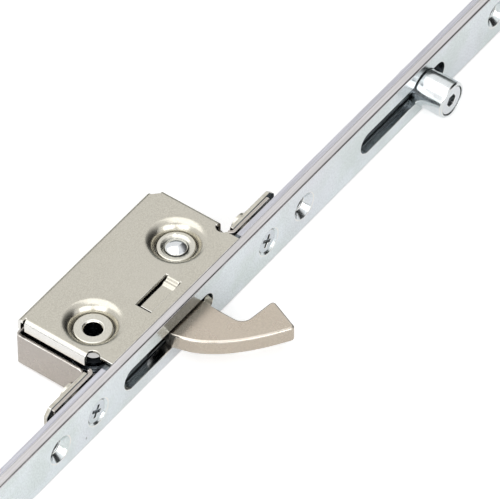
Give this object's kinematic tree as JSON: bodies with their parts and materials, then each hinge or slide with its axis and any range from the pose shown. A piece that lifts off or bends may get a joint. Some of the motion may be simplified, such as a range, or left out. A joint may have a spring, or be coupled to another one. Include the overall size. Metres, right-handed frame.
{
  "type": "multipoint door lock hook case with roller cam",
  "caption": "Stretch of a multipoint door lock: flat faceplate with sliding drive rail, swinging hook bolt in a pressed steel case, and an eccentric roller cam in a slot.",
  "frame": {"origin": "on the front face of the faceplate, on its middle line, midway between the two fixing holes beside the hook case", "axes": "+X along the strip from the hook case towards the roller, +Y from the front face into the door, +Z across the strip on the side of the case cover"},
  "size_m": [0.316, 0.0657, 0.02],
  "materials": {
    "bright_zinc": "bright zinc plate on rolled steel, glossy",
    "rail_zinc": "zinc plate, drawn lengthwise",
    "cover_satin": "satin zinc plate on pressed sheet",
    "tray_satin": "satin zinc plate with a faint pink cast, on pressed sheet",
    "collar_satin": "satin, turned",
    "screw_zinc": "bright zinc plate",
    "hook_nickel": "satin nickel plate on a blanked and tumbled steel plate",
    "polished_steel": "polished",
    "chrome": "bright, ground and polished"
  },
  "bodies": {
    "lock_body": {"faceplate": "bright_zinc", "case_tray": "tray_satin", "case_cover": "cover_satin", "cover_pivot_collar": "collar_satin", "tray_pivot_collar": "collar_satin", "cover_guide_button": "collar_satin", "tray_guide_button": "collar_satin", "left_foot_plate": "bright_zinc", "right_foot_plate": "bright_zinc", "press_nuts": "bright_zinc", "screw_spacers": "bright_zinc", "case_screws": "screw_zinc"},
    "drive": {"drive_rail": "rail_zinc", "stud_washer": "bright_zinc", "stud_spring_washer": "bright_zinc"},
    "hook_body": {"hook": "hook_nickel", "hook_pin": "polished_steel", "hook_washers": "bright_zinc"},
    "stud": {"roller_stud": "polished_steel"},
    "roller": {"roller_sleeve": "chrome"}
  },
  "joints": [
    {"name": "drive_slide", "type": "slide", "parent": "lock_body", "child": "drive", "axis": [1, 0, 0], "range_m": [-0.01555, 0]},
    {"name": "hook_swing", "type": "hinge", "parent": "lock_body", "child": "hook_body", "pos_m": [0.0197, 0.01795, 0], "axis": [0, 0, 1], "range_deg": [-66, 0]},
    {"name": "stud_adjust", "type": "hinge", "parent": "drive", "child": "stud", "pos_m": [0.1245, 0, 0], "axis": [0, 1, 0], "range_deg": [-90, 90]},
    {"name": "roller_spin", "type": "hinge", "parent": "stud", "child": "roller", "pos_m": [0.1255, 0, 0], "axis": [0, 1, 0], "continuous": true}
  ],
  "couplings": [
    {"joint": "hook_swing", "follows": "drive_slide", "rad_per_m": 74.074}
  ]
}
